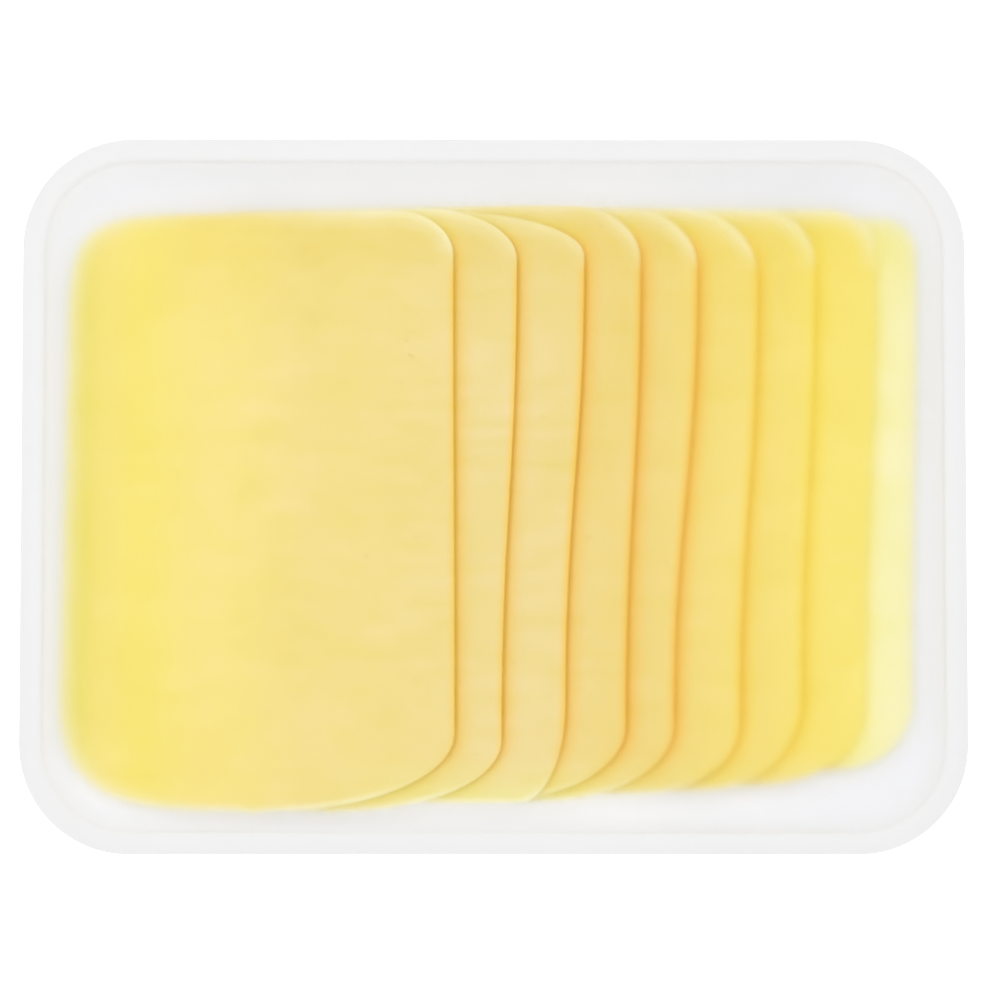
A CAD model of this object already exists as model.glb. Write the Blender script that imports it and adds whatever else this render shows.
import math

import bmesh
import bpy
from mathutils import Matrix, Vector, bvhtree, kdtree


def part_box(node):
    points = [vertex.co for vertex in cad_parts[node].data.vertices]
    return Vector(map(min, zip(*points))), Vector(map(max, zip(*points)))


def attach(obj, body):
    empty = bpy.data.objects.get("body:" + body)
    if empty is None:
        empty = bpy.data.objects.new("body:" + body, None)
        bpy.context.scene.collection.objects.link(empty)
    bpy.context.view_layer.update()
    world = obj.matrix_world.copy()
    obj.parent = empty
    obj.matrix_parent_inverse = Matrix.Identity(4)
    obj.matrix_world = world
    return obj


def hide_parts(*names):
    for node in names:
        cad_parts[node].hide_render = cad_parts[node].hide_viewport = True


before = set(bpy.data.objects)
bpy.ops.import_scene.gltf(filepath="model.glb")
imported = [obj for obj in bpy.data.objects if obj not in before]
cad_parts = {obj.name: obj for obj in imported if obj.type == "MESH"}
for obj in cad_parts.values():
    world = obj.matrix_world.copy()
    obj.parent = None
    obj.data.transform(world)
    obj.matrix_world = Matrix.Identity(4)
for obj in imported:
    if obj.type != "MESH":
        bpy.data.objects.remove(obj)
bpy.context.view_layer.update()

# Tray
# One sheet of milky white plastic, heated and drawn down into a shallow dish with a flat rim.
# Its upper face is shaped from a plane, from the rim inwards, and the sheet's thickness is
# added below it.
MM = 0.001
SHEET = 0.6 * MM
RIM_CORNER = 24 * MM
RIM_BREADTH = 4.8 * MM
WALL_DRAFT = 1.5 * MM
LIP_ROUND = 0.8 * MM
FLOOR_ROUND = 1.0 * MM
CUT_EDGE_ROUND = 0.12 * MM
RIM_WHITE_STARTS = 0.03 * MM
DRAWN_WHITE_STARTS = 0.4 * MM
CORNER_SEGMENTS = 20
ROUND_SEGMENTS = 5
SHARP = math.radians(50)
SMOOTH_UP_TO = math.radians(35)
SHARP_EDGE = 1.0

tray_low, tray_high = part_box("tray")
rim_top = tray_high.z
rim_size = tray_high - tray_low


def pick(piece, kind, test):
    """In edit mode, select only the verts, edges or faces that pass the test."""
    bpy.ops.mesh.select_mode(type=kind)
    bpy.ops.mesh.select_all(action="DESELECT")
    shape = bmesh.from_edit_mesh(piece.data)
    parts = {"VERT": shape.verts, "EDGE": shape.edges, "FACE": shape.faces}[kind]
    for part in parts:
        if test(part):
            part.select_set(True)
    bmesh.update_edit_mesh(piece.data)


def rounded_plane(name, size_x, size_y, corner, height):
    """A flat rounded rectangle round the origin, left in edit mode with its face selected."""
    bpy.ops.object.select_all(action="DESELECT")
    bpy.ops.mesh.primitive_plane_add(size=1, location=(0, 0, height))
    piece = bpy.context.object
    piece.name = name
    piece.scale = (size_x, size_y, 1)
    bpy.ops.object.transform_apply(location=True, rotation=True, scale=True)
    bpy.ops.object.mode_set(mode="EDIT")
    bpy.ops.mesh.select_all(action="SELECT")
    bpy.ops.mesh.bevel(offset=corner, segments=CORNER_SEGMENTS, affect="VERTICES", profile=0.5)
    bpy.ops.mesh.select_all(action="SELECT")
    return piece


def add_modifier(piece, kind, **settings):
    """Add a modifier with these settings and apply it."""
    bpy.ops.object.select_all(action="DESELECT")
    piece.select_set(True)
    bpy.context.view_layer.objects.active = piece
    modifier = piece.modifiers.new(kind.title(), kind)
    for key, value in settings.items():
        setattr(modifier, key, value)
    bpy.ops.object.modifier_apply(modifier=modifier.name)


def smooth(piece):
    """Shade the piece smooth, but for its sharp edges."""
    bpy.ops.object.select_all(action="DESELECT")
    piece.select_set(True)
    bpy.context.view_layer.objects.active = piece
    bpy.ops.object.shade_smooth_by_angle(angle=SMOOTH_UP_TO)


tray = rounded_plane("milky_tray", rim_size.x, rim_size.y, RIM_CORNER, rim_top)
bpy.ops.mesh.select_mode(type="FACE")
bpy.ops.mesh.select_all(action="SELECT")
bpy.ops.mesh.inset(thickness=RIM_BREADTH, use_even_offset=True)
drop = tray_low.z + SHEET - rim_top
bpy.ops.mesh.extrude_region_move(TRANSFORM_OT_translate={"value": (0, 0, drop)})
opening_x = rim_size.x - 2 * RIM_BREADTH
opening_y = rim_size.y - 2 * RIM_BREADTH
narrowing = (1 - 2 * WALL_DRAFT / opening_x, 1 - 2 * WALL_DRAFT / opening_y, 1)
bpy.ops.transform.resize(value=narrowing)
pick(tray, "EDGE", lambda e: e.calc_face_angle(0) > SHARP_EDGE and e.verts[0].co.z < rim_top - MM)
bpy.ops.mesh.bevel(offset=FLOOR_ROUND, segments=ROUND_SEGMENTS, affect="EDGES")
pick(tray, "EDGE", lambda e: e.calc_face_angle(0) > SHARP_EDGE and e.verts[0].co.z > rim_top - MM)
bpy.ops.mesh.bevel(offset=LIP_ROUND, segments=ROUND_SEGMENTS, affect="EDGES")
bpy.ops.object.mode_set(mode="OBJECT")
add_modifier(tray, "SOLIDIFY", thickness=SHEET, offset=-1, use_even_offset=True)
add_modifier(tray, "BEVEL", width=CUT_EDGE_ROUND, segments=2, limit_method="ANGLE",
             angle_limit=SHARP)
smooth(tray)


def linear(red, green, blue):
    """A colour as a screen shows it, 0 to 255, as the linear colour a shader takes."""
    def channel(value):
        value = value / 255
        return value / 12.92 if value <= 0.04045 else ((value + 0.055) / 1.055) ** 2.4
    return (channel(red), channel(green), channel(blue), 1)


def new_finish(name):
    """A new node material, with its nodes, links, shader and object coordinates."""
    material = bpy.data.materials.new(name)
    material.use_nodes = True
    nodes = material.node_tree.nodes
    shader = nodes["Principled BSDF"]
    place = nodes.new("ShaderNodeTexCoord").outputs["Object"]
    return material, nodes, material.node_tree.links, shader, place


# The range that most of a noise pattern keeps to, and the numbers of a colour mix's sockets.
USUAL_NOISE = (0.3, 0.7)
MIX_COLOUR_INPUTS = (0, 6, 7)
MIX_COLOUR_OUTPUT = 2


def noise(nodes, links, place, scale, detail=2.0, stretch=(1, 1, 1)):
    """A noise pattern in object space, stretched along the axes."""
    mapping = nodes.new("ShaderNodeMapping")
    mapping.inputs["Scale"].default_value = stretch
    pattern = nodes.new("ShaderNodeTexNoise")
    pattern.inputs["Scale"].default_value = scale
    pattern.inputs["Detail"].default_value = detail
    links.new(place, mapping.inputs["Vector"])
    links.new(mapping.outputs["Vector"], pattern.inputs["Vector"])
    return pattern.outputs["Fac"]


def remap(nodes, links, value, low, high, new_low, new_high):
    """Stretch and shift a value, so that it runs from new_low to new_high."""
    node = nodes.new("ShaderNodeMapRange")
    for key, number in zip(("From Min", "From Max", "To Min", "To Max"),
                           (low, high, new_low, new_high)):
        node.inputs[key].default_value = number
    links.new(value, node.inputs["Value"])
    return node.outputs["Result"]


def varied(nodes, links, place, scale, low=0, high=1, detail=2.0, stretch=(1, 1, 1)):
    """A noise pattern that runs about evenly from low to high."""
    pattern = noise(nodes, links, place, scale, detail, stretch)
    return remap(nodes, links, pattern, *USUAL_NOISE, low, high)


def mix(nodes, links, factor, first, second, how="MIX"):
    """Mix two colours. Each of the three is a plain value or another node's output."""
    node = nodes.new("ShaderNodeMix")
    node.data_type = "RGBA"
    node.blend_type = how
    for socket, value in zip(MIX_COLOUR_INPUTS, (factor, first, second)):
        if isinstance(value, (int, float, tuple)):
            node.inputs[socket].default_value = value
        else:
            links.new(value, node.inputs[socket])
    return node.outputs[MIX_COLOUR_OUTPUT]


def bump(nodes, links, shader, height, distance):
    """Give the surface a fine relief of this depth."""
    node = nodes.new("ShaderNodeBump")
    node.inputs["Distance"].default_value = distance
    links.new(height, node.inputs["Height"])
    links.new(node.outputs["Normal"], shader.inputs["Normal"])


RIM_WHITE = linear(237, 237, 237)
DRAWN_WHITE = linear(252, 253, 255)
THROUGH_WHITE = linear(242, 242, 243)
LIGHT_THROUGH = 0.85
FAINT_GREY = (0.985, 0.985, 0.985, 1)
WHITE = (1, 1, 1, 1)
TRAY_CLOUD_SCALE = 35
TRAY_SHEEN_SCALE = 300
TRAY_ROUGHNESS = (0.42, 0.5)
TRAY_GLOSS = 0.4
TRAY_GRAIN_SCALE = 120
TRAY_GRAIN = 0.02 * MM


def tray_finish():
    """Milky white satin plastic, whiter where the sheet is drawn down below the rim."""
    material, nodes, links, shader, place = new_finish("milky_plastic")
    axes = nodes.new("ShaderNodeSeparateXYZ")
    links.new(place, axes.inputs["Vector"])
    drawn = remap(nodes, links, axes.outputs["Z"], rim_top - RIM_WHITE_STARTS,
                  rim_top - DRAWN_WHITE_STARTS, 0, 1)
    colour = mix(nodes, links, drawn, RIM_WHITE, DRAWN_WHITE)
    cloudy = varied(nodes, links, place, TRAY_CLOUD_SCALE, detail=3)
    tint = mix(nodes, links, cloudy, FAINT_GREY, WHITE)
    links.new(mix(nodes, links, 1.0, colour, tint, "MULTIPLY"), shader.inputs["Base Color"])
    sheen = varied(nodes, links, place, TRAY_SHEEN_SCALE, *TRAY_ROUGHNESS)
    links.new(sheen, shader.inputs["Roughness"])
    shader.inputs["Specular IOR Level"].default_value = TRAY_GLOSS
    bump(nodes, links, shader, noise(nodes, links, place, TRAY_GRAIN_SCALE), TRAY_GRAIN)
    through = nodes.new("ShaderNodeBsdfTranslucent")
    through.inputs["Color"].default_value = THROUGH_WHITE
    blend = nodes.new("ShaderNodeMixShader")
    links.new(remap(nodes, links, drawn, 0, 1, 0, LIGHT_THROUGH), blend.inputs["Fac"])
    links.new(shader.outputs["BSDF"], blend.inputs[1])
    links.new(through.outputs["BSDF"], blend.inputs[2])
    links.new(blend.outputs["Shader"], nodes["Material Output"].inputs["Surface"])
    return material


tray.data.materials.append(tray_finish())
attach(tray, "root")
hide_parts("tray")

# Slices of cheese
# Nine slices of a mild yellow cheese, cut from a loaf by a blade and laid out in a fan, the
# last one on top. Each is a flat outline, cut into cells, draped over the stack's climb,
# and then given its thickness, its soft cut edge and a slight unevenness.
SLICE_THICKNESS = 1.4 * MM
LAYER = 1.5 * MM
# From the top slice down, in millimetres: how far the right side leans, and how far the two
# right corners reach, the far one and then the near one, each along the end and the side.
RIGHT_SIDES = [
    (0.4, (13, 10), (42, 17)),
    (-3.3, (21, 11.5), (36, 15.5)),
    (-4.2, (32, 10), (10, 21)),
    (-3.4, (15, 12), (28, 16)),
    (-5.4, (15, 13), (28.5, 16.5)),
    (-4.2, (17, 15), (21, 15.5)),
    (-3.3, (13, 12), (21, 20)),
    (-3.0, (10, 9), (23, 17)),
    (-1.4, (8, 7), (16, 15)),
]
SLICE_COUNT = len(RIGHT_SIDES)
# How far the two left corners reach along X and Y, and the handles' share of it: a larger
# share makes a squarer corner. The last value is the share at the right corners.
TOP_LEFT = Vector((24.5, 24.5)) * MM
TOP_LEFT_SQUARE = (0.85, 0.85)
BOTTOM_LEFT = Vector((41, 24.5)) * MM
BOTTOM_LEFT_SQUARE = (0.67, 0.9)
RIGHT_SQUARE = 0.55
LEFT_LEAN = 1.4 * MM
END_BULGE = 0.3 * MM
SIDE_SWAY = 0.45
CURVE_RESOLUTION = 14
# The face is finer along its outline, and in the strip beside the slice above it.
EDGE_RINGS = (0.5 * MM, 0.7 * MM, 1.3 * MM, 2.0 * MM)
CELL = 2.5 * MM
FINE_CELL = 0.6 * MM
SIDE_DRIFT = 7 * MM
FINE_REACH = 4.5 * MM
STRAY_VERTS = 0.15 * MM
EDGE_SPACING = 0.5 * MM
FAR_AWAY = 10 * MM
# Where the stack's climb starts and ends along X, and over what lengths it eases in and out.
CLIMB_START = -96 * MM
CLIMB_END = 16 * MM
CLIMB_EASE_IN = 11 * MM
CLIMB_EASE_OUT = 14 * MM
FORMER_COLUMNS = 120
EDGE_ROUND = 0.6 * MM
WAVE_HEIGHT = 0.12 * MM
WAVE_SIZE = 28 * MM


def climb(x):
    """Height that the stack under a slice reaches at x: eased in, straight, eased out."""
    run = CLIMB_END - CLIMB_START
    full = (SLICE_COUNT - 1) * LAYER
    slope = full / (run - CLIMB_EASE_IN / 2 - CLIMB_EASE_OUT / 2)
    done = min(max(x - CLIMB_START, 0), run)
    left = run - done
    if done < CLIMB_EASE_IN:
        return slope * done * done / (2 * CLIMB_EASE_IN)
    if left < CLIMB_EASE_OUT:
        return full - slope * left * left / (2 * CLIMB_EASE_OUT)
    return slope * (done - CLIMB_EASE_IN / 2)


def make_former():
    """The sheet that the slices are draped over, raised column by column."""
    bpy.ops.object.select_all(action="DESELECT")
    bpy.ops.mesh.primitive_grid_add(x_subdivisions=FORMER_COLUMNS, y_subdivisions=1, size=1)
    former = bpy.context.object
    former.scale = (rim_size.x, rim_size.y, 1)
    bpy.ops.object.transform_apply(location=True, rotation=True, scale=True)
    bpy.ops.object.mode_set(mode="EDIT")
    spacing = rim_size.x / FORMER_COLUMNS
    for column in range(FORMER_COLUMNS + 1):
        x = column * spacing - rim_size.x / 2
        pick(former, "VERT", lambda v: abs(v.co.x - x) < spacing / 4)
        bpy.ops.transform.translate(value=(0, 0, climb(x)))
    bpy.ops.object.mode_set(mode="OBJECT")
    return former


def outline_points(low, high, lean, top_turn, bottom_turn):
    """The outline's eight curve points, anticlockwise, each with its two handles."""
    left_low = low.x
    left_high = low.x + LEFT_LEAN
    right_high = high.x - max(lean, 0)
    right_low = right_high + lean
    bottom = low.y + END_BULGE
    top = high.y - END_BULGE / 2
    side_top = top - top_turn.y
    side_bottom = bottom + bottom_turn.y
    sway = (side_top - side_bottom) * SIDE_SWAY
    anchors = [
        Vector((left_low + BOTTOM_LEFT.x, bottom)),
        Vector((right_low - bottom_turn.x, bottom)),
        Vector((right_low, side_bottom)),
        Vector((right_high, side_top)),
        Vector((right_high - top_turn.x, top)),
        Vector((left_high + TOP_LEFT.x, top)),
        Vector((left_high, top - TOP_LEFT.y)),
        Vector((left_low, bottom + BOTTOM_LEFT.y)),
    ]
    toward_crown = 2 / 3
    bottom_crown = (anchors[0] + anchors[1]) / 2 - Vector((0, 2 * END_BULGE))
    top_crown = (anchors[4] + anchors[5]) / 2 + Vector((0, END_BULGE))
    before = [
        anchors[0] - Vector((BOTTOM_LEFT.x * BOTTOM_LEFT_SQUARE[0], 0)),
        anchors[1].lerp(bottom_crown, toward_crown),
        anchors[2] - Vector((0, bottom_turn.y * RIGHT_SQUARE)),
        anchors[3] - Vector((0, sway)),
        anchors[4] + Vector((top_turn.x * RIGHT_SQUARE, 0)),
        anchors[5].lerp(top_crown, toward_crown),
        anchors[6] + Vector((0, TOP_LEFT.y * TOP_LEFT_SQUARE[1])),
        anchors[7].lerp(anchors[6], 1 / 3),
    ]
    after = [
        anchors[0].lerp(bottom_crown, toward_crown),
        anchors[1] + Vector((bottom_turn.x * RIGHT_SQUARE, 0)),
        anchors[2] + Vector((0, sway)),
        anchors[3] + Vector((0, top_turn.y * RIGHT_SQUARE)),
        anchors[4].lerp(top_crown, toward_crown),
        anchors[5] - Vector((TOP_LEFT.x * TOP_LEFT_SQUARE[0], 0)),
        anchors[6].lerp(anchors[7], 1 / 3),
        anchors[7] - Vector((0, BOTTOM_LEFT.y * BOTTOM_LEFT_SQUARE[1])),
    ]
    return list(zip(anchors, before, after))


def outline_face(name, points):
    """A flat face with this outline, left in edit mode and selected."""
    bpy.ops.object.select_all(action="DESELECT")
    bpy.ops.curve.primitive_bezier_circle_add(radius=1)
    piece = bpy.context.object
    piece.name = name
    spline = piece.data.splines[0]
    spline.bezier_points.add(len(points) - len(spline.bezier_points))
    spline.resolution_u = CURVE_RESOLUTION
    for point, (place, before, after) in zip(spline.bezier_points, points):
        point.handle_left_type = point.handle_right_type = "FREE"
        point.co = place.to_3d()
        point.handle_left = before.to_3d()
        point.handle_right = after.to_3d()
    bpy.ops.object.convert(target="MESH")
    piece = bpy.context.object
    bpy.ops.object.mode_set(mode="EDIT")
    bpy.ops.mesh.select_all(action="SELECT")
    bpy.ops.mesh.edge_face_add()
    return piece


def cut_into_cells(low, high, cell, axes=(0, 1)):
    """Cut the mesh in edit mode into cells, so that it can bend."""
    for axis in axes:
        count = math.ceil((high[axis] - low[axis]) / cell)
        step = (high[axis] - low[axis]) / count
        normal = tuple(1 if axis == i else 0 for i in range(3))
        for i in range(1, count):
            place = [0, 0, 0]
            place[axis] = low[axis] + i * step
            bpy.ops.mesh.select_all(action="SELECT")
            bpy.ops.mesh.bisect(plane_co=place, plane_no=normal)


def edge_finder(corners):
    """A quick way to look up the distance of a place to the outline through these corners."""
    points = []
    for start, stop in zip(corners, corners[1:] + corners[:1]):
        steps = math.ceil((stop - start).length / EDGE_SPACING)
        points += [start.lerp(stop, step / steps) for step in range(steps)]
    tree = kdtree.KDTree(len(points))
    for number, point in enumerate(points):
        tree.insert(point, number)
    tree.balance()
    return lambda place: tree.find((place.x, place.y, 0))[2]


def note_distances(piece, name, distance_of):
    """Keep a distance in metres for each vertex, for the finish to read."""
    note = piece.data.attributes.new(name, "FLOAT", "POINT")
    for vertex in piece.data.vertices:
        note.data[vertex.index].value = distance_of(vertex.co)


def slice_finder(upper):
    """A quick way to look up the distance of a place to the slice above, where there is one."""
    if upper is None:
        return lambda place: FAR_AWAY
    tree = bvhtree.BVHTree.FromPolygons([v.co for v in upper.data.vertices],
                                        [p.vertices[:] for p in upper.data.polygons])

    def distance(place):
        found = tree.find_nearest(place, FAR_AWAY)[3]
        return FAR_AWAY if found is None else found

    return distance


slow_waves = bpy.data.textures.new("slow_waves", "CLOUDS")
slow_waves.noise_scale = WAVE_SIZE
former = make_former()
slices = []
for number, (lean, top_turn, bottom_turn) in enumerate(RIGHT_SIDES, start=1):
    low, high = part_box(f"slice_{number}")
    points = outline_points(low, high, lean * MM, Vector(top_turn) * MM, Vector(bottom_turn) * MM)
    piece = outline_face(f"cheese_{number}", points)
    from_edge = edge_finder([v.co.copy() for v in piece.data.vertices])
    for ring in EDGE_RINGS:
        bpy.ops.mesh.inset(thickness=ring, use_even_offset=True)
    cut_into_cells(low, high, CELL)
    if number > 1:
        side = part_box(f"slice_{number - 1}")[1].x
        fine_low = Vector((side - SIDE_DRIFT, 0, 0))
        fine_high = Vector((side + FINE_REACH, 0, 0))
        cut_into_cells(fine_low, fine_high, FINE_CELL, axes=(0,))
    bpy.ops.mesh.select_all(action="SELECT")
    bpy.ops.mesh.remove_doubles(threshold=STRAY_VERTS)
    bpy.ops.mesh.normals_make_consistent(inside=False)
    bpy.ops.object.mode_set(mode="OBJECT")
    if piece.data.polygons[0].normal.z < 0:
        piece.data.flip_normals()
    add_modifier(piece, "SHRINKWRAP", target=former, wrap_method="PROJECT", use_project_z=True,
                 use_negative_direction=True, use_positive_direction=True)
    bpy.ops.object.mode_set(mode="EDIT")
    bpy.ops.mesh.select_all(action="SELECT")
    bpy.ops.transform.translate(value=(0, 0, low.z - climb(low.x)))
    bpy.ops.object.mode_set(mode="OBJECT")
    add_modifier(piece, "SOLIDIFY", thickness=SLICE_THICKNESS, offset=1, use_even_offset=True,
                 material_offset_rim=1)
    add_modifier(piece, "BEVEL", width=EDGE_ROUND, segments=3, limit_method="ANGLE",
                 angle_limit=SHARP)
    add_modifier(piece, "DISPLACE", texture=slow_waves, direction="Z", strength=WAVE_HEIGHT,
                 mid_level=0.5, texture_coords="LOCAL")
    smooth(piece)
    note_distances(piece, "from_own_edge", from_edge)
    slices.append(piece)
bpy.data.objects.remove(former)

for upper, piece in zip([None] + slices, slices):
    note_distances(piece, "from_slice_above", slice_finder(upper))

# The face's colour along the fan: brighter where few layers lie under it, creamier on the
# full stack. Places in millimetres along X.
FACE_COLOURS = [
    (-92, linear(240, 226, 114)),
    (-86, linear(249, 230, 131)),
    (-79, linear(250, 232, 122)),
    (-62, linear(250, 230, 143)),
    (-38, linear(244, 223, 146)),
    (5, linear(241, 220, 155)),
    (30, linear(241, 216, 134)),
    (55, linear(246, 224, 127)),
    (78, linear(251, 232, 124)),
]
LOWEST_COLOURS = [(40, linear(252, 247, 196)), (90, linear(252, 247, 196))]
PALE_EDGE = linear(252, 247, 214)
CUT_COLOURS = [
    (-92, PALE_EDGE),
    (-40, PALE_EDGE),
    (-18, linear(216, 176, 30)),
    (4, linear(226, 180, 26)),
    (20, linear(210, 160, 16)),
    (60, linear(240, 196, 10)),
    (85, linear(255, 242, 60)),
]
# The edges over the tray are pale: how pale along the fan, at the face's far end and its near
# end, from the edge inwards, and at both ends of the cut side. Places are in millimetres.
PALE_ALONG_X = [(-92, 1.0), (-78, 0.5), (-60, 0.0)]
FAR_PALE_ALONG_X = [(-60, 0.12), (-24, 0.9), (-12, 1.0), (2, 0.6), (20, 0.6), (45, 1.0)]
FAR_PALE_ALONG_Y = [(48, 0.0), (58, 1.0)]
PALE_INWARDS = [(0, 0.85), (0.8, 0.6), (2.2, 0.25), (4.5, 0.0)]
NEAR_PALE_ALONG_Y = [(-66.5, 1.0), (-63.5, 0.4), (-60, 0.0)]
NEAR_PALE_INWARDS = [(0, 1.0), (0.6, 0.6), (1.5, 0.0)]
PALE_ENDS = [(-66, 1.0), (-58, 0.8), (-49, 0.45), (-42, 0.0), (46, 0.0), (56, 0.5), (62, 1.0)]
# The right sides are darker and moist where a slice lies under them: how strong along X and
# along Y, from the edge inwards on the upper slice and outwards on the lower one.
MOIST_COLOURS = [
    (-10, linear(252, 200, 24)),
    (40, linear(255, 190, 0)),
    (62, linear(255, 216, 8)),
    (85, linear(255, 242, 40)),
]
GAP_COLOURS = [
    (-10, linear(210, 180, 0)),
    (10, linear(212, 168, 0)),
    (22, linear(206, 162, 0)),
    (45, linear(222, 174, 0)),
    (62, linear(232, 190, 0)),
    (80, linear(246, 222, 0)),
]
END_MOIST = linear(242, 220, 60)
END_GAP = linear(222, 200, 60)
SPECK_COLOUR = linear(190, 152, 0)
MOIST_ALONG_X = [(-20, 0.62), (10, 0.75), (25, 0.97), (50, 1.0), (76, 0.95), (86, 0.45)]
MOIST_ALONG_Y = [(-69, 0.8), (-46, 1.0), (48, 1.0), (58, 0.85), (63, 0.6)]
END_MOIST_ALONG_Y = [(-66, 1.0), (-54, 0.0), (54, 0.0), (61, 1.0)]
MOIST_OUTWARDS = [(0, 0.95), (0.5, 0.72), (1.4, 0.46), (2.4, 0.22), (4.5, 0.0)]
GAP_OUTWARDS = [(0, 0.95), (0.5, 0.55), (1.1, 0.0)]
GAP_ALONG_Y = [(-67, 0.1), (-56, 0.6), (-46, 1.0), (46, 1.0), (56, 0.5), (61, 0.2)]
MOIST_INWARDS = [(0, 0.8), (0.45, 0.5), (0.9, 0.25), (1.7, 0.0)]
OWN_SIDE_ALONG_X = [(-30, 0.0), (-16, 1.0), (60, 1.0), (84, 0.2)]
OWN_SIDE_ALONG_Y = [(-66, 0.0), (-60, 0.4), (-46, 1.0), (46, 1.0), (56, 0.0)]
# A deeper yellow along the far end of every slice: places along Y, and its colour.
FAR_END_TINT = linear(252, 250, 224)
FAR_END = [(34, 0.0), (46, 0.4), (54, 1.0), (61, 1.0), (63.5, 0.3)]
FAR_END_ALONG_X = [(-84, 0.0), (-66, 1.0), (-40, 0.8)]
# The near end is a little greener and paler.
NEAR_END_COLOUR = linear(242, 236, 165)
NEAR_END = [(-66, 0.7), (-61, 0.25), (-56, 0.0)]
NEAR_END_ALONG_X = [(-45, 0.0), (-5, 1.0), (18, 1.0), (45, 0.5)]
# Soft clouding in two sizes, each with its scale, detail and stretch, then blade streaks and
# a few specks. The low and high tones multiply the colour.
CLOUD_SIZES = [(60, 2, (1, 1, 1)), (170, 3, (0.7, 1.4, 1))]
CLOUD_LOW = (0.98, 0.975, 0.84, 1)
CLOUD_HIGH = (1.0, 1.0, 1.02, 1)
STREAK_LOW = (0.99, 0.985, 0.91, 1)
STREAK_SCALE = 60
STREAK_STRETCH = (0.3, 6, 1)
STREAK_RANGE = (0.35, 0.65)
SPECK_SCALE = 700
SPECK_RANGE = (0.74, 0.8)
SPECK_STRENGTH = 0.4
CHEESE_SHEEN_SCALE = 250
CHEESE_ROUGHNESS = (0.42, 0.56)
CHEESE_GLOSS = 0.3
CHEESE_GRAIN_SCALE = 500
CHEESE_GRAIN = 0.05 * MM
LIGHT_LEVEL = 1.02


def dimmed(colour):
    """The surface colour that shows as this colour under the studio light."""
    return tuple(part / LIGHT_LEVEL for part in colour[:3]) + (1,)


def along(nodes, links, value, stops):
    """A grey or colour ramp over a place or distance, through these stops in millimetres."""
    first, last = stops[0][0], stops[-1][0]
    ramp = nodes.new("ShaderNodeValToRGB")
    ramp.color_ramp.interpolation = "EASE"
    elements = ramp.color_ramp.elements
    for _ in stops[2:]:
        elements.new(0.5)
    for element, (place, tone) in zip(elements, stops):
        element.position = (place - first) / (last - first)
        element.color = tone if isinstance(tone, tuple) else (tone, tone, tone, 1)
    links.new(remap(nodes, links, value, first * MM, last * MM, 0, 1), ramp.inputs["Fac"])
    return ramp.outputs["Color"]


def colour_along(nodes, links, value, stops):
    """A colour ramp whose colours show as given under the studio light."""
    return along(nodes, links, value, [(place, dimmed(colour)) for place, colour in stops])


def noted(nodes, name):
    """A distance that was kept for each vertex."""
    node = nodes.new("ShaderNodeAttribute")
    node.attribute_name = name
    return node.outputs["Fac"]


def both(nodes, links, first, second):
    """Two tones multiplied."""
    return mix(nodes, links, 1.0, first, second, "MULTIPLY")


def within(nodes, links, x, x_stops, y, y_stops):
    """A tone that fades out along X and along Y."""
    return both(nodes, links, along(nodes, links, x, x_stops), along(nodes, links, y, y_stops))


def tinted_ends(nodes, links, x, y, base):
    """The face's own colour, changed towards its far and near ends."""
    far_end = within(nodes, links, x, FAR_END_ALONG_X, y, FAR_END)
    base = both(nodes, links, base, mix(nodes, links, far_end, WHITE, FAR_END_TINT))
    near_end = within(nodes, links, x, NEAR_END_ALONG_X, y, NEAR_END)
    return mix(nodes, links, near_end, base, dimmed(NEAR_END_COLOUR))


def moist_sides(nodes, links, x, y, own_edge, base):
    """The face with its moist stripes and the dark gap beside the slice above."""
    moist = colour_along(nodes, links, x, MOIST_COLOURS)
    at_ends = along(nodes, links, y, END_MOIST_ALONG_Y)
    moist = mix(nodes, links, at_ends, moist, dimmed(END_MOIST))
    reach = within(nodes, links, x, MOIST_ALONG_X, y, MOIST_ALONG_Y)
    from_above = noted(nodes, "from_slice_above")
    outwards = both(nodes, links, reach, along(nodes, links, from_above, MOIST_OUTWARDS))
    base = mix(nodes, links, outwards, base, moist)
    gap = within(nodes, links, from_above, GAP_OUTWARDS, y, GAP_ALONG_Y)
    deep = mix(nodes, links, at_ends, along(nodes, links, x, GAP_COLOURS), END_GAP)
    base = mix(nodes, links, both(nodes, links, gap, reach), base, deep)
    own_side = within(nodes, links, x, OWN_SIDE_ALONG_X, y, OWN_SIDE_ALONG_Y)
    inwards = both(nodes, links, own_side, along(nodes, links, own_edge, MOIST_INWARDS))
    return mix(nodes, links, inwards, base, moist)


def pale_on_face(nodes, links, x, y, own_edge):
    """How pale the face is: along its left side, its far end and its near end."""
    far = within(nodes, links, x, FAR_PALE_ALONG_X, y, FAR_PALE_ALONG_Y)
    pale = mix(nodes, links, 1.0, along(nodes, links, x, PALE_ALONG_X), far, "LIGHTEN")
    pale = both(nodes, links, pale, along(nodes, links, own_edge, PALE_INWARDS))
    near = within(nodes, links, own_edge, NEAR_PALE_INWARDS, y, NEAR_PALE_ALONG_Y)
    return mix(nodes, links, 1.0, pale, near, "LIGHTEN")


def pale_on_cut(nodes, links, x, y):
    """How pale the cut side is: at the left and at both ends."""
    return mix(nodes, links, 1.0, along(nodes, links, x, PALE_ALONG_X),
               along(nodes, links, y, PALE_ENDS), "LIGHTEN")


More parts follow.
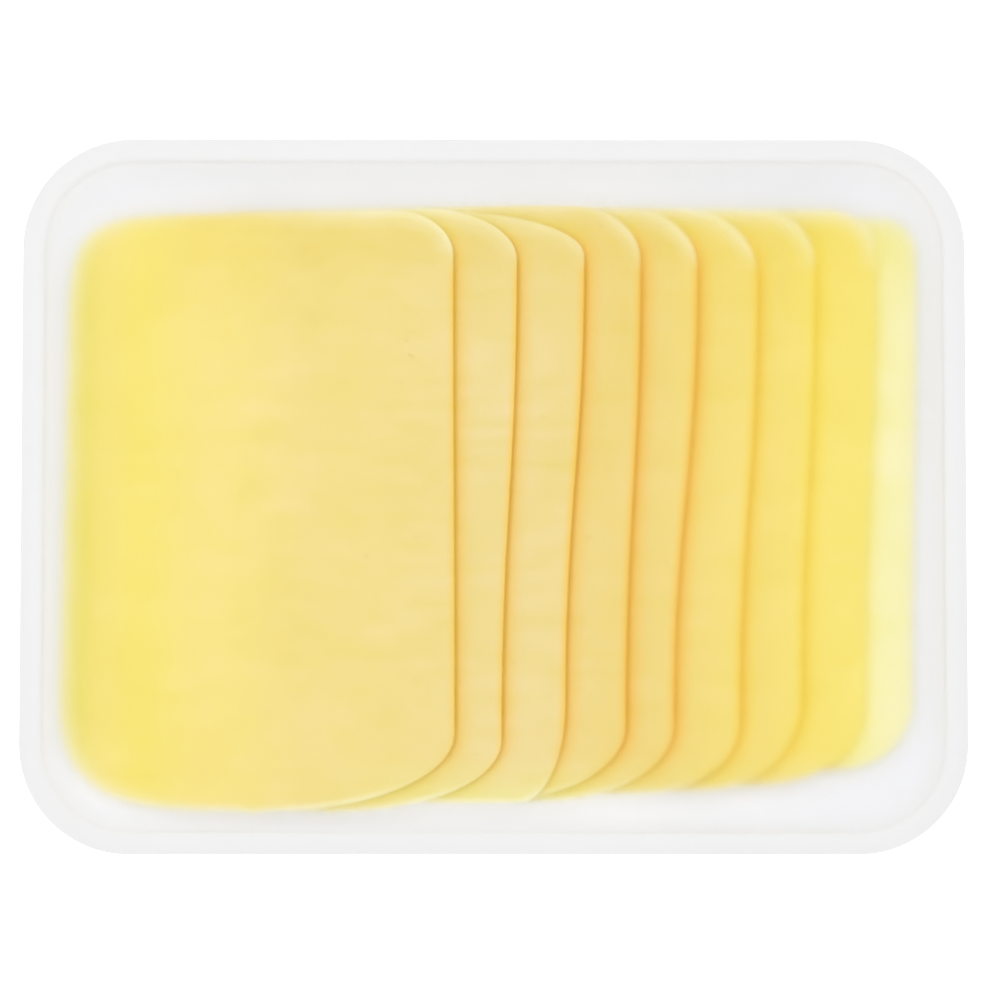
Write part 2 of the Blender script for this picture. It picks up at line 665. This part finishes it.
def clouded(nodes, links, place, base):
    """The colour with its clouding, its blade streaks and its specks."""
    for scale, detail, stretch in CLOUD_SIZES:
        cloud = varied(nodes, links, place, scale, detail=detail, stretch=stretch)
        base = both(nodes, links, base, mix(nodes, links, cloud, CLOUD_LOW, CLOUD_HIGH))
    streak = noise(nodes, links, place, STREAK_SCALE, 3, STREAK_STRETCH)
    streak = remap(nodes, links, streak, *STREAK_RANGE, 0, 1)
    base = both(nodes, links, base, mix(nodes, links, streak, STREAK_LOW, WHITE))
    speck = noise(nodes, links, place, SPECK_SCALE, 1)
    speck = remap(nodes, links, speck, *SPECK_RANGE, 0, SPECK_STRENGTH)
    return mix(nodes, links, speck, base, SPECK_COLOUR)


def cheese_finish(name, colours, is_face):
    """Soft moist cheese, for a slice's face or for its cut side."""
    material, nodes, links, shader, place = new_finish(name)
    axes = nodes.new("ShaderNodeSeparateXYZ")
    links.new(place, axes.inputs["Vector"])
    x, y = axes.outputs["X"], axes.outputs["Y"]
    base = colour_along(nodes, links, x, colours)
    if is_face:
        own_edge = noted(nodes, "from_own_edge")
        base = tinted_ends(nodes, links, x, y, base)
        base = moist_sides(nodes, links, x, y, own_edge, base)
        pale = pale_on_face(nodes, links, x, y, own_edge)
    else:
        pale = pale_on_cut(nodes, links, x, y)
    base = mix(nodes, links, pale, base, dimmed(PALE_EDGE))
    links.new(clouded(nodes, links, place, base), shader.inputs["Base Color"])
    sheen = varied(nodes, links, place, CHEESE_SHEEN_SCALE, *CHEESE_ROUGHNESS)
    links.new(sheen, shader.inputs["Roughness"])
    shader.inputs["Specular IOR Level"].default_value = CHEESE_GLOSS
    bump(nodes, links, shader, noise(nodes, links, place, CHEESE_GRAIN_SCALE, 3), CHEESE_GRAIN)
    return material


face_finish = cheese_finish("cheese_face", FACE_COLOURS, True)
lowest_finish = cheese_finish("cheese_lowest", LOWEST_COLOURS, True)
cut_finish = cheese_finish("cheese_cut", CUT_COLOURS, False)
for number, piece in enumerate(slices, start=1):
    piece.data.materials.append(lowest_finish if number == SLICE_COUNT else face_finish)
    piece.data.materials.append(cut_finish)
    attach(piece, "root")
    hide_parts(f"slice_{number}")

# Lidding film
# A clear plastic film with a faint frost, sealed to the rim and stretched flat over the
# cheese. It is a plane with the rim's outline, cut into cells, slightly waved and thickened.
FILM_INSET = 0.2 * MM
FILM_LIFT = 0.02 * MM
FILM_THICKNESS = 0.1 * MM
FILM_CELL = 6 * MM
FILM_WAVE_HEIGHT = 0.12 * MM
FILM_WAVE_SIZE = 45 * MM
SEAL_BREADTH = 8 * MM
FILM_FROST = (0.56, 0.6)
FILM_FROST_SCALE = 40
FILM_IOR = 1.2

film = rounded_plane("clear_film", rim_size.x - 2 * FILM_INSET, rim_size.y - 2 * FILM_INSET,
                     RIM_CORNER - FILM_INSET, rim_top + FILM_LIFT)
cut_into_cells(tray_low, tray_high, FILM_CELL)
bpy.ops.object.mode_set(mode="OBJECT")
span_x = rim_size.x / 2 - SEAL_BREADTH
span_y = rim_size.y / 2 - SEAL_BREADTH
free_span = film.vertex_groups.new(name="free_span")
free_span.add([v.index for v in film.data.vertices
               if abs(v.co.x) < span_x and abs(v.co.y) < span_y], 1.0, "REPLACE")
film_waves = bpy.data.textures.new("film_waves", "CLOUDS")
film_waves.noise_scale = FILM_WAVE_SIZE
add_modifier(film, "DISPLACE", texture=film_waves, direction="Z", strength=FILM_WAVE_HEIGHT,
             mid_level=0.5, texture_coords="LOCAL", vertex_group="free_span")
add_modifier(film, "SOLIDIFY", thickness=FILM_THICKNESS, offset=1)
smooth(film)


def film_finish():
    """Clear film with a faint frost."""
    material, nodes, links, shader, place = new_finish("frosted_film")
    shader.inputs["Base Color"].default_value = WHITE
    shader.inputs["Transmission Weight"].default_value = 1
    shader.inputs["IOR"].default_value = FILM_IOR
    frost = varied(nodes, links, place, FILM_FROST_SCALE, *FILM_FROST)
    links.new(frost, shader.inputs["Roughness"])
    return material


film.data.materials.append(film_finish())
# The lamp and bounced light pass the thin film as if it were air.
film.visible_diffuse = False
film.visible_shadow = False
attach(film, "root")
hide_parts("lidding_film")

# Studio
# A plain white floor, lit from below, under an even white sky, with one large soft lamp
# overhead, and the camera almost straight above the pack.
FLOOR_SIZE = 3.0
FLOOR_DROP = 0.1 * MM
FLOOR_WHITES = (linear(250, 250, 250), linear(252, 252, 252))
FLOOR_CLOUD_SCALE = 20
FLOOR_ROUGHNESS = 0.9
SKY_STRENGTH = 0.95
LAMP_SIZE = 1.2
LAMP_PLACE = Vector((-0.25, 0.35, 1.4))
LAMP_POWER = 2.5
FLOOR_GLOW = 0.39
# More light from below along both ends of the slices: how much, and where, in millimetres
# along X and along Y.
EXTRA_GLOW = 0.26
EXTRA_ALONG_X = [(-99, 0.15), (-84, 0.5), (-60, 0.65), (-5, 1.0), (18, 1.0), (50, 0.35), (80, 0.0)]
EXTRA_ALONG_Y = [(-78, 0.35), (-71, 0.5), (-65, 1.0), (58, 0.7), (64, 0.3), (76, 0.22)]
CAMERA_PLACE = (-0.5 * MM, -35.3 * MM, 649.0 * MM)
CAMERA_TURN = (3.015, -0.162, 0.019)
LENS = 107.4

bpy.ops.object.select_all(action="DESELECT")
bpy.ops.mesh.primitive_plane_add(size=FLOOR_SIZE, location=(0, 0, -FLOOR_DROP))
floor = bpy.context.object
floor.name = "floor"
material, nodes, links, shader, place = new_finish("lit_white_floor")
cloudy = varied(nodes, links, place, FLOOR_CLOUD_SCALE)
links.new(mix(nodes, links, cloudy, *FLOOR_WHITES), shader.inputs["Base Color"])
shader.inputs["Roughness"].default_value = FLOOR_ROUGHNESS
shader.inputs["Specular IOR Level"].default_value = 0.0
shader.inputs["Emission Color"].default_value = WHITE
axes = nodes.new("ShaderNodeSeparateXYZ")
links.new(place, axes.inputs["Vector"])
extra = within(nodes, links, axes.outputs["X"], EXTRA_ALONG_X, axes.outputs["Y"], EXTRA_ALONG_Y)
links.new(remap(nodes, links, extra, 0, 1, FLOOR_GLOW, FLOOR_GLOW + EXTRA_GLOW),
          shader.inputs["Emission Strength"])
floor.data.materials.append(material)

world = bpy.data.worlds.new("white_sky")
bpy.context.scene.world = world
world.use_nodes = True
sky = world.node_tree.nodes["Background"]
sky.inputs["Color"].default_value = WHITE
sky.inputs["Strength"].default_value = SKY_STRENGTH

bpy.ops.object.light_add(type="AREA", location=LAMP_PLACE)
lamp = bpy.context.object
lamp.data.size = LAMP_SIZE
lamp.data.energy = LAMP_POWER
lamp.rotation_euler = LAMP_PLACE.to_track_quat("Z", "Y").to_euler()

bpy.ops.object.camera_add(location=Vector(CAMERA_PLACE) + Vector((0, 0, rim_top)),
                          rotation=[math.radians(turn) for turn in CAMERA_TURN])
camera = bpy.context.object
camera.data.lens = LENS
bpy.context.scene.camera = camera
bpy.context.scene.view_settings.view_transform = "Standard"
